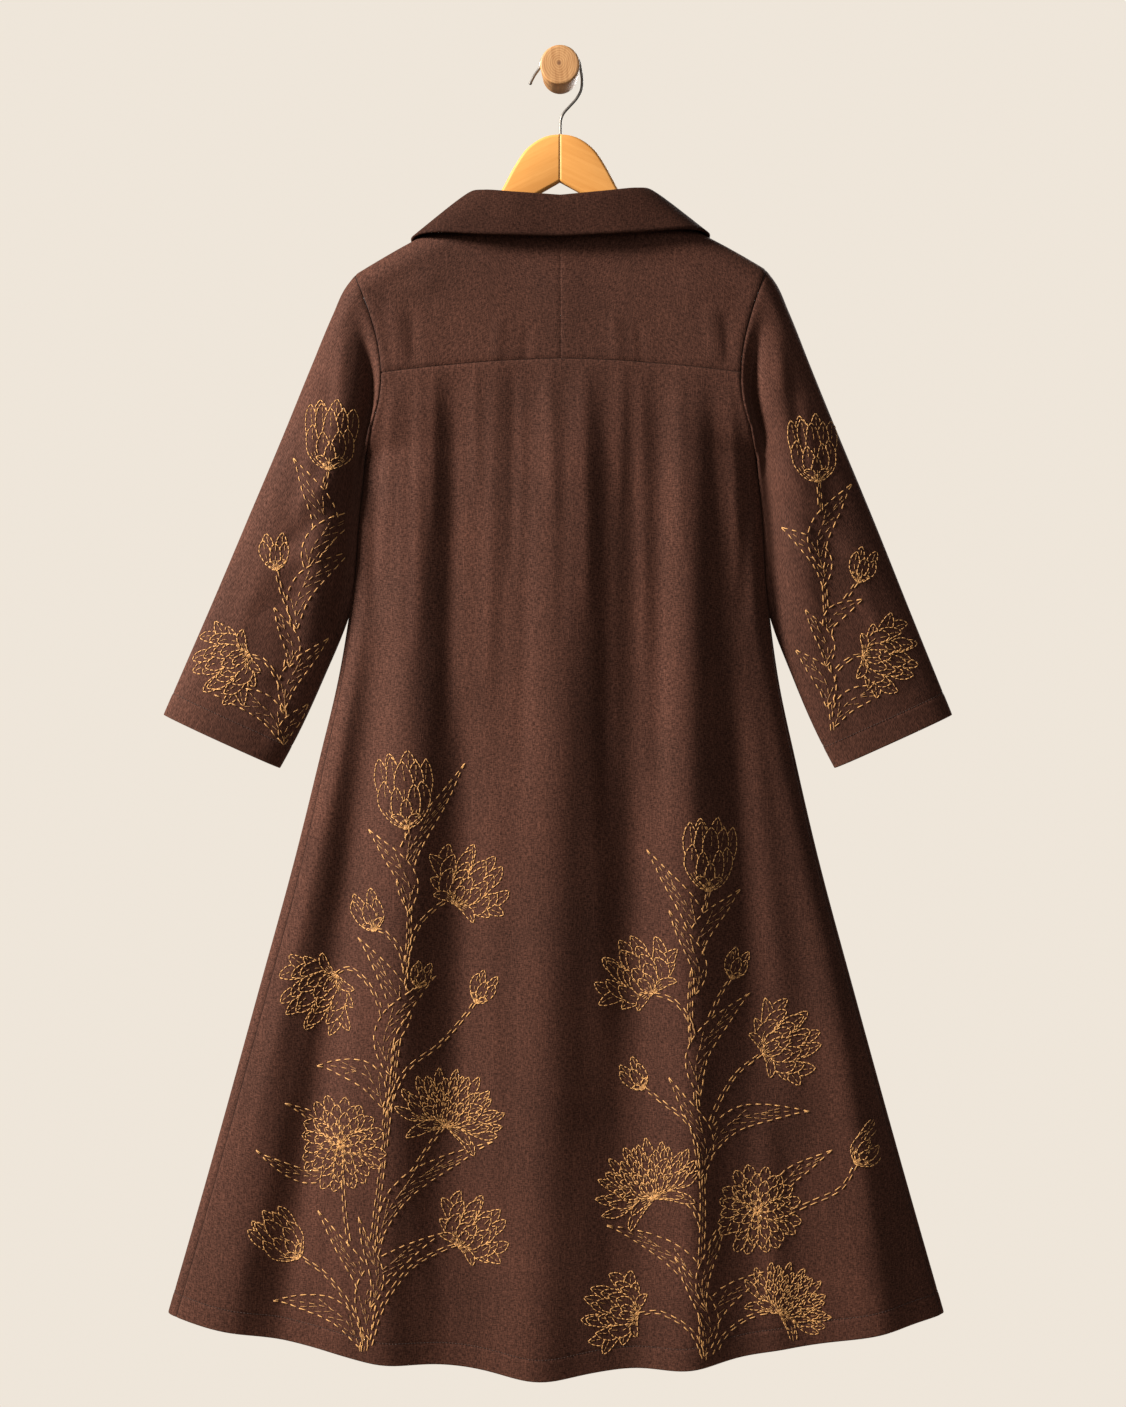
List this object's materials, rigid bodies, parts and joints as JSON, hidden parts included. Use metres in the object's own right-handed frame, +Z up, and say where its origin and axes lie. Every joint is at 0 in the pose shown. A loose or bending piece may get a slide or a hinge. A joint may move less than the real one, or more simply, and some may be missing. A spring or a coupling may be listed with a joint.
{
  "type": "long coat on a hanger and wall peg",
  "caption": "Long A-line coat with a turn-down collar, curved back yoke and three-quarter sleeves, hung by its back on a wooden hanger over a round wall peg.",
  "frame": {"origin": "middle of the peg's back face, on the wall", "axes": "+X to the right of a viewer who faces the coat's back, +Y into the wall, +Z up"},
  "size_m": [0.7959, 0.0866, 1.3337],
  "materials": {
    "coat_cloth": "dark brown slubbed plain weave, matt with a faint sheen",
    "embroidery_thread": "old-gold twisted thread with a soft shine",
    "hanger_wood": "honey-coloured varnished wood",
    "peg_wood": "oiled wood with end grain on its face",
    "hook_steel": "drawn steel wire"
  },
  "bodies": {
    "root": {"back_body": "coat_cloth", "back_yoke_left": "coat_cloth", "back_yoke_right": "coat_cloth", "front_left": "coat_cloth", "front_right": "coat_cloth", "sleeve_left": "coat_cloth", "sleeve_right": "coat_cloth", "collar": "coat_cloth", "hanger_left": "hanger_wood", "hanger_right": "hanger_wood", "hanger_hook": "hook_steel", "wall_peg": "peg_wood"}
  },
  "joints": []
}
